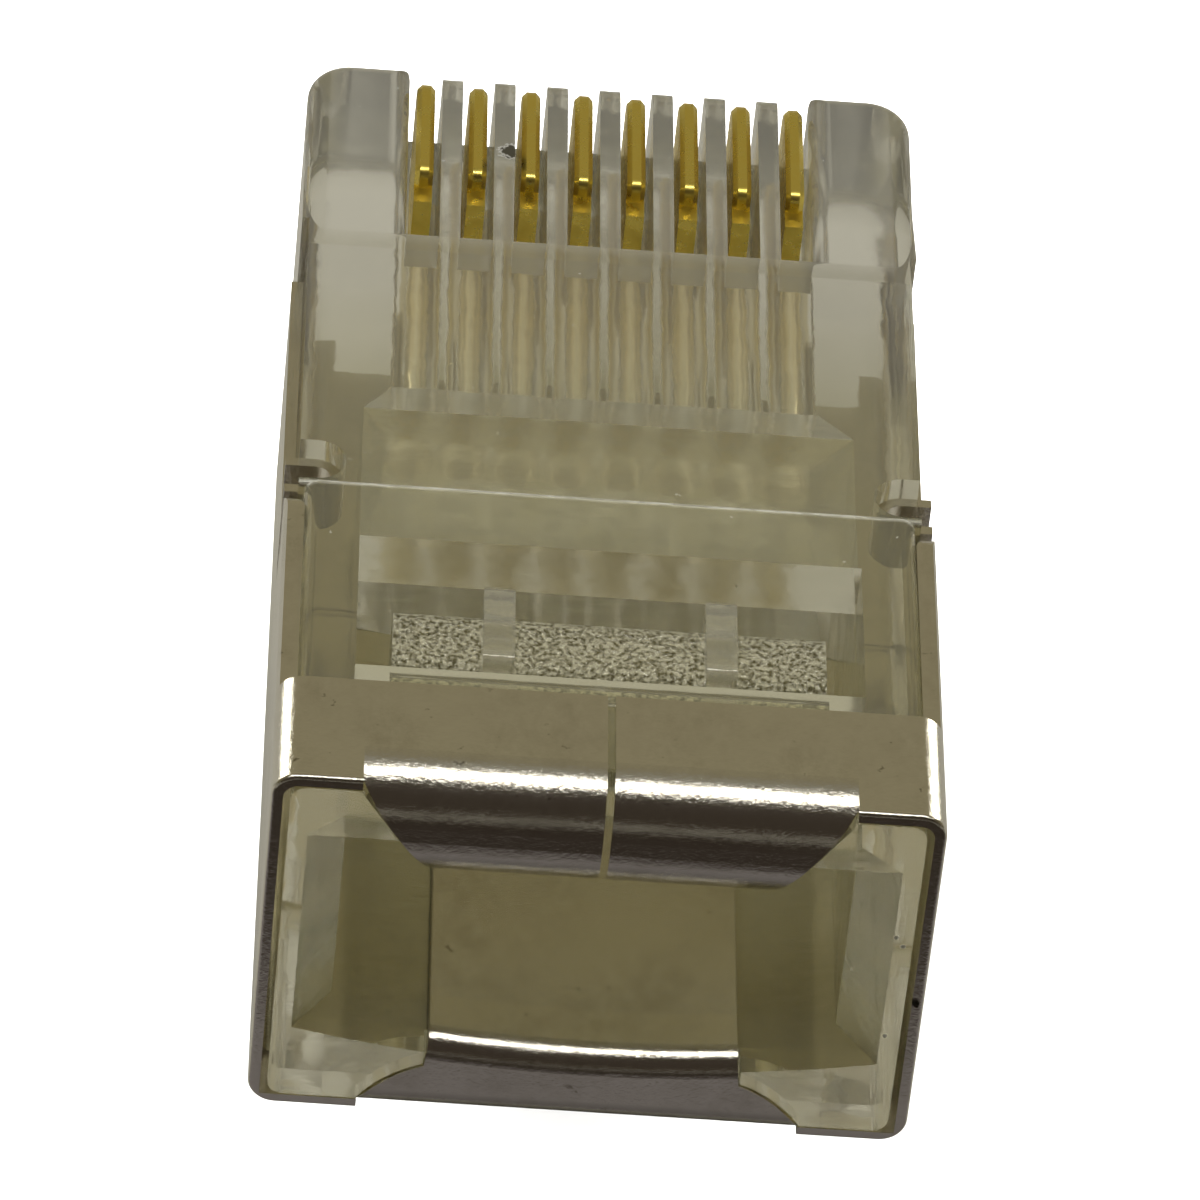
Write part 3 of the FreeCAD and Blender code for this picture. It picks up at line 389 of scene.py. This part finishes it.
# Painted shade: the cards are darker copies of the pale floor, seen only mirrored and through the plastic;
# the grey and the dark card lie on the mouth's side.
# Each card's colour, half sizes, middle along Y, and height over the floor.
card("table_shade_card", (0.31, 0.30, 0.26), 0.5, 0.5, 0.0, 0.00005)
card("grey_card", (0.14, 0.13, 0.13), 0.02, 0.0034, -0.0036, 0.00015, through_plastic=False)
card("dark_card", (0.025, 0.02, 0.016), 0.05, 0.045, -0.049, 0.0001, through_plastic=False)


def soft_light(name, centre, towards, size, power, tint=(1.0, 1.0, 1.0)):
    """A rectangular lamp of the given size in metres and power in watts."""
    data = bpy.data.lights.new(name, "AREA")
    data.shape = "RECTANGLE"
    data.size, data.size_y = size
    data.energy = power
    data.color = tint
    made = bpy.data.objects.new(name, data)
    made.location = centre
    made.rotation_mode = "QUATERNION"
    made.rotation_quaternion = (Vector(centre) - Vector(towards)).to_track_quat("Z", "Y")
    bpy.context.scene.collection.objects.link(made)
    return made


def only_for(light, *pieces):
    """Keeps a light for some pieces alone, and out of the camera's sight."""
    lit = bpy.data.collections.new(f"{light.name}_lights")
    for piece in pieces:
        lit.objects.link(piece)
    light.light_linking.receiver_collection = lit
    light.visible_camera = False


def gloss_of(light, *pieces):
    """Keeps a light for the gloss of some pieces, off the clear plastic and all matt things."""
    only_for(light, *pieces)
    light.visible_diffuse = False
    light.visible_transmission = False


MIDDLE = (0.0, 0.010, 0.0)
ORIGIN = (0.0, 0.0, 0.0)

# The way to the right-hand window, which the left one mirrors, and how far off both stand.
ACROSS, AHEAD, UP = 0.59, 0.78, 0.22
WINDOW_DISTANCE = 0.4

key = soft_light("key", (-0.06, 0.03, 0.40), MIDDLE, (0.40, 0.36), 2.7)
key.visible_glossy = False
key.visible_transmission = False
for side, name in ((-1, "left_floor_wash"), (1, "right_floor_wash")):
    only_for(soft_light(name, (side * 0.40, -0.10, 0.24), MIDDLE, (0.6, 0.4), 8.0), floor)
strip = soft_light("strip", (0.0, -0.042, 0.30), ORIGIN, (0.46, 0.03), 0.50, (1.0, 0.98, 0.92))
gloss_of(strip, nodes["shield"], nodes["strain_relief_bar"], *contacts)
for side, name in ((-1, "left_window"), (1, "right_window")):
    beside = Vector((side * ACROSS, AHEAD, UP)) * WINDOW_DISTANCE
    window = soft_light(name, beside, ORIGIN, (0.06, 0.16), 0.30, (1.0, 0.98, 0.88))
    gloss_of(window, nodes["shield"])

ROOM_BEHIND = (0.045, 0.036, 0.027)
ROOM_AHEAD = (0.275, 0.245, 0.155)
ROOM_ABOVE = (0.30, 0.29, 0.25)
BACKDROP = (0.92, 0.92, 0.91)


def surroundings():
    """A pale backdrop in a dim warm room: dark on the mouth's side, olive beyond the nose, paler overhead."""
    world = bpy.data.worlds.new("room")
    bpy.context.scene.world = world
    tree = Tree(world)
    split = tree.node("ShaderNodeSeparateXYZ")
    tree.feed(split.inputs[0], tree.node("ShaderNodeTexCoord").outputs["Generated"])
    ahead = tree.spread(split.outputs["Y"], -0.5, 0.8)
    up = tree.spread(split.outputs["Z"], 0.88, 0.99)
    shade = tree.blend_colours(ahead, colour(*ROOM_BEHIND), colour(*ROOM_AHEAD))
    shade = tree.blend_colours(up, shade, colour(*ROOM_ABOVE))
    seen = tree.node("ShaderNodeLightPath").outputs["Is Camera Ray"]
    shade = tree.blend_colours(seen, shade, colour(*BACKDROP))
    back = tree.node("ShaderNodeBackground", Color=shade)
    back.inputs["Strength"].default_value = 1.0
    out = tree.node("ShaderNodeOutputWorld")
    tree.feed(out.inputs["Surface"], back.outputs[0])


surroundings()


def make_camera():
    """The photograph's camera, fitted to the plug's known corners."""
    azimuth, elevation, roll = (math.radians(angle) for angle in (AZIMUTH, ELEVATION, ROLL))
    level = math.cos(elevation)
    back = Vector((math.sin(azimuth) * level, -math.cos(azimuth) * level, math.sin(elevation)))
    right = (-back).cross(Vector((0, 0, 1))).normalized()
    up = right.cross(-back)
    across = math.cos(roll) * right + math.sin(roll) * up
    upright = math.cos(roll) * up - math.sin(roll) * right
    data = bpy.data.cameras.new("camera")
    data.sensor_width = 36.0
    data.lens = LENS
    data.clip_start, data.clip_end = 0.01, 5.0
    made = bpy.data.objects.new("camera", data)
    turn = Matrix((across, upright, back)).transposed().to_4x4()
    made.matrix_world = Matrix.Translation(TARGET + DISTANCE * back) @ turn
    bpy.context.scene.collection.objects.link(made)
    bpy.context.scene.camera = made


make_camera()
bpy.context.scene.view_settings.view_transform = "Standard"

# Light crosses many walls of clear plastic before it leaves the plug.
light_paths = bpy.context.scene.cycles
light_paths.max_bounces = 24
light_paths.glossy_bounces = 20
light_paths.transmission_bounces = 24
light_paths.transparent_max_bounces = 16
